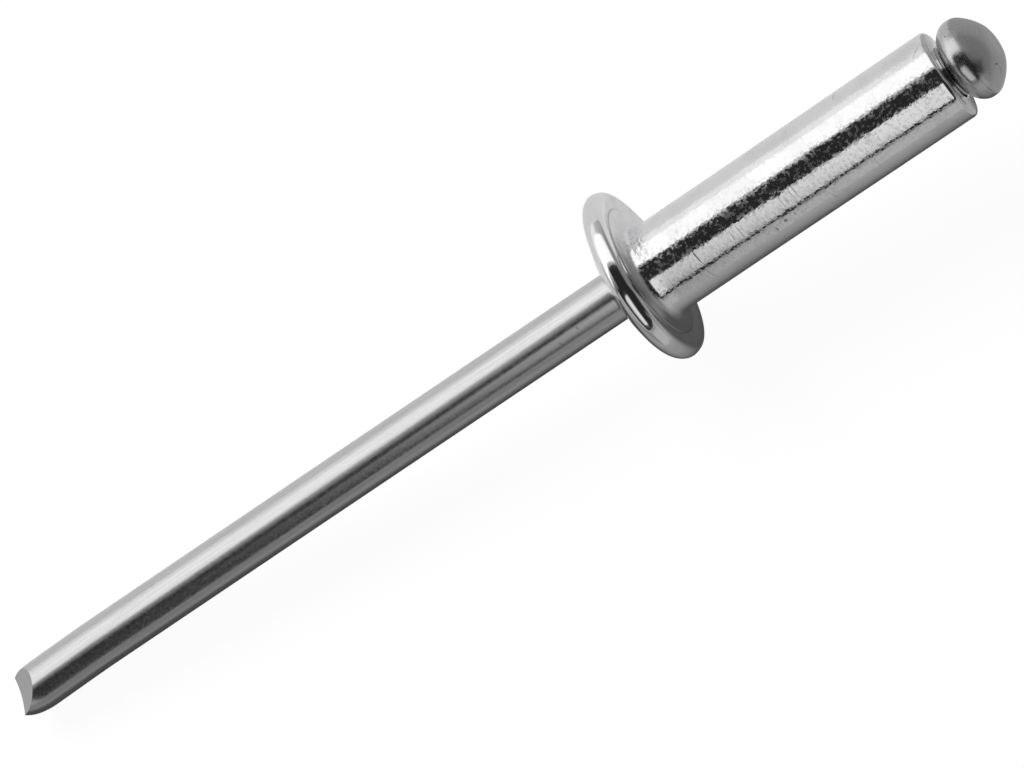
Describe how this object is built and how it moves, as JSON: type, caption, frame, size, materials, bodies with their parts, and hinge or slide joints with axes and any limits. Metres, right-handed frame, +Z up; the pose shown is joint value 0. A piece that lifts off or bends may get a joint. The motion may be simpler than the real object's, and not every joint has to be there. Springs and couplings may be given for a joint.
{
  "type": "blind rivet",
  "caption": "Open-end blind rivet before setting: a hollow shank with a domed flange, on a headed pulling mandrel with a pinched-off tip, lying on its side.",
  "frame": {"origin": "on the plane it lies on, below the middle of its bounding box", "axes": "+Z up; +X along the rivet towards the mandrel's head, whose end is raised about 5 degrees by the flange; +Y across it"},
  "size_m": [0.0412, 0.0062, 0.0062],
  "materials": {
    "body": "gloss",
    "mandrel": "satin"
  },
  "bodies": {
    "root": {"rivet_body": "body", "mandrel": "mandrel"}
  },
  "joints": []
}
